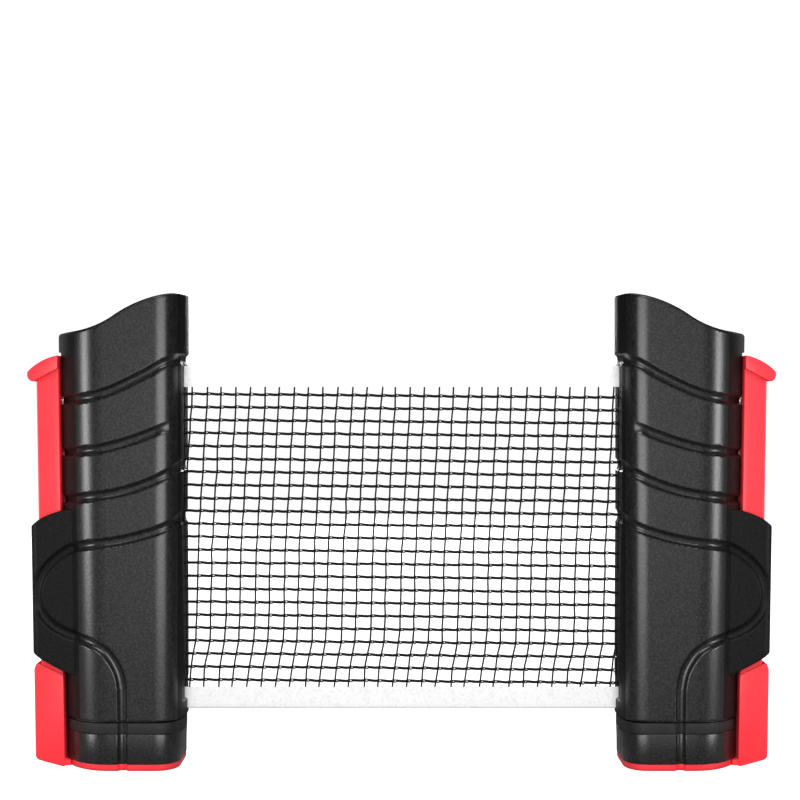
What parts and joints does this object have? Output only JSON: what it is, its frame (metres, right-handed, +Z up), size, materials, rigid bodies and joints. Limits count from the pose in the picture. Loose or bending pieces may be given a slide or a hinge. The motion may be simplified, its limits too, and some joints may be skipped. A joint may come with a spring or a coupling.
{
  "type": "retractable table tennis net with clamp posts",
  "caption": "Table tennis net that pulls out of a reel in one clamp post to a second clamp post; each post grips the table edge with a spring-loaded sliding jaw",
  "frame": {"origin": "midway between the two posts, in the net's plane, on the surface that the base plates stand on", "axes": "+X from the reel post to the anchor post along the net, +Y from the front to the rear, +Z up"},
  "size_m": [0.323, 0.046, 0.2041],
  "materials": {
    "black_plastic": "fine grain moulded",
    "red_plastic": "satin moulded",
    "white_plastic": "moulded",
    "black_rubber": "matte",
    "steel": "zinc plated",
    "white_cloth": "woven band",
    "net_cord": "knotted cord"
  },
  "bodies": {
    "reel_post": {"left_front_shell": "black_plastic", "left_rear_shell": "black_plastic", "left_shell_screws": "steel", "left_spring_pin": "steel", "left_upper_pad": "black_rubber", "left_clamp_spring": "steel", "reel_axle": "steel", "spring_drum": "black_plastic", "spring_drum_cover": "black_plastic", "rewind_spring": "steel"},
    "net_reel": {"reel_core": "white_plastic", "net_roll": "net_cord", "lower_bush": "white_plastic", "upper_bush": "white_plastic"},
    "left_clamp": {"left_clamp_slider": "red_plastic", "left_spring_lug": "steel", "left_jaw_block": "black_plastic", "left_jaw_pad": "black_rubber", "left_jaw_screws": "steel"},
    "anchor_post": {"right_front_shell": "black_plastic", "right_rear_shell": "black_plastic", "right_shell_screws": "steel", "right_spring_pin": "steel", "right_upper_pad": "black_rubber", "right_clamp_spring": "steel", "net_end_bar": "steel", "net_mesh": "net_cord", "net_top_band": "white_cloth", "net_bottom_band": "white_cloth"},
    "right_clamp": {"right_clamp_slider": "red_plastic", "right_spring_lug": "steel", "right_jaw_block": "black_plastic", "right_jaw_pad": "black_rubber", "right_jaw_screws": "steel"}
  },
  "joints": [
    {"name": "left_clamp_slide", "type": "slide", "parent": "reel_post", "child": "left_clamp", "axis": [0.0166, 0, -0.9999], "range_m": [0, 0.05], "stiffness_N_per_m": 600, "springref_m": -0.03, "deforming": ["left_clamp_spring"]},
    {"name": "net_extension", "type": "slide", "parent": "reel_post", "child": "anchor_post", "axis": [1, 0, 0], "range_m": [-0.186, 1.5], "deforming": ["net_mesh", "net_top_band", "net_bottom_band"]},
    {"name": "net_reel_spin", "type": "hinge", "parent": "reel_post", "child": "net_reel", "pos_m": [-0.1165, 0, 0.098], "axis": [0, 0, 1], "continuous": true},
    {"name": "right_clamp_slide", "type": "slide", "parent": "anchor_post", "child": "right_clamp", "axis": [-0.0166, 0, -0.9999], "range_m": [0, 0.05], "stiffness_N_per_m": 600, "springref_m": -0.03, "deforming": ["right_clamp_spring"]}
  ],
  "couplings": [
    {"joint": "net_reel_spin", "follows": "net_extension", "rad_per_m": 81.1}
  ]
}
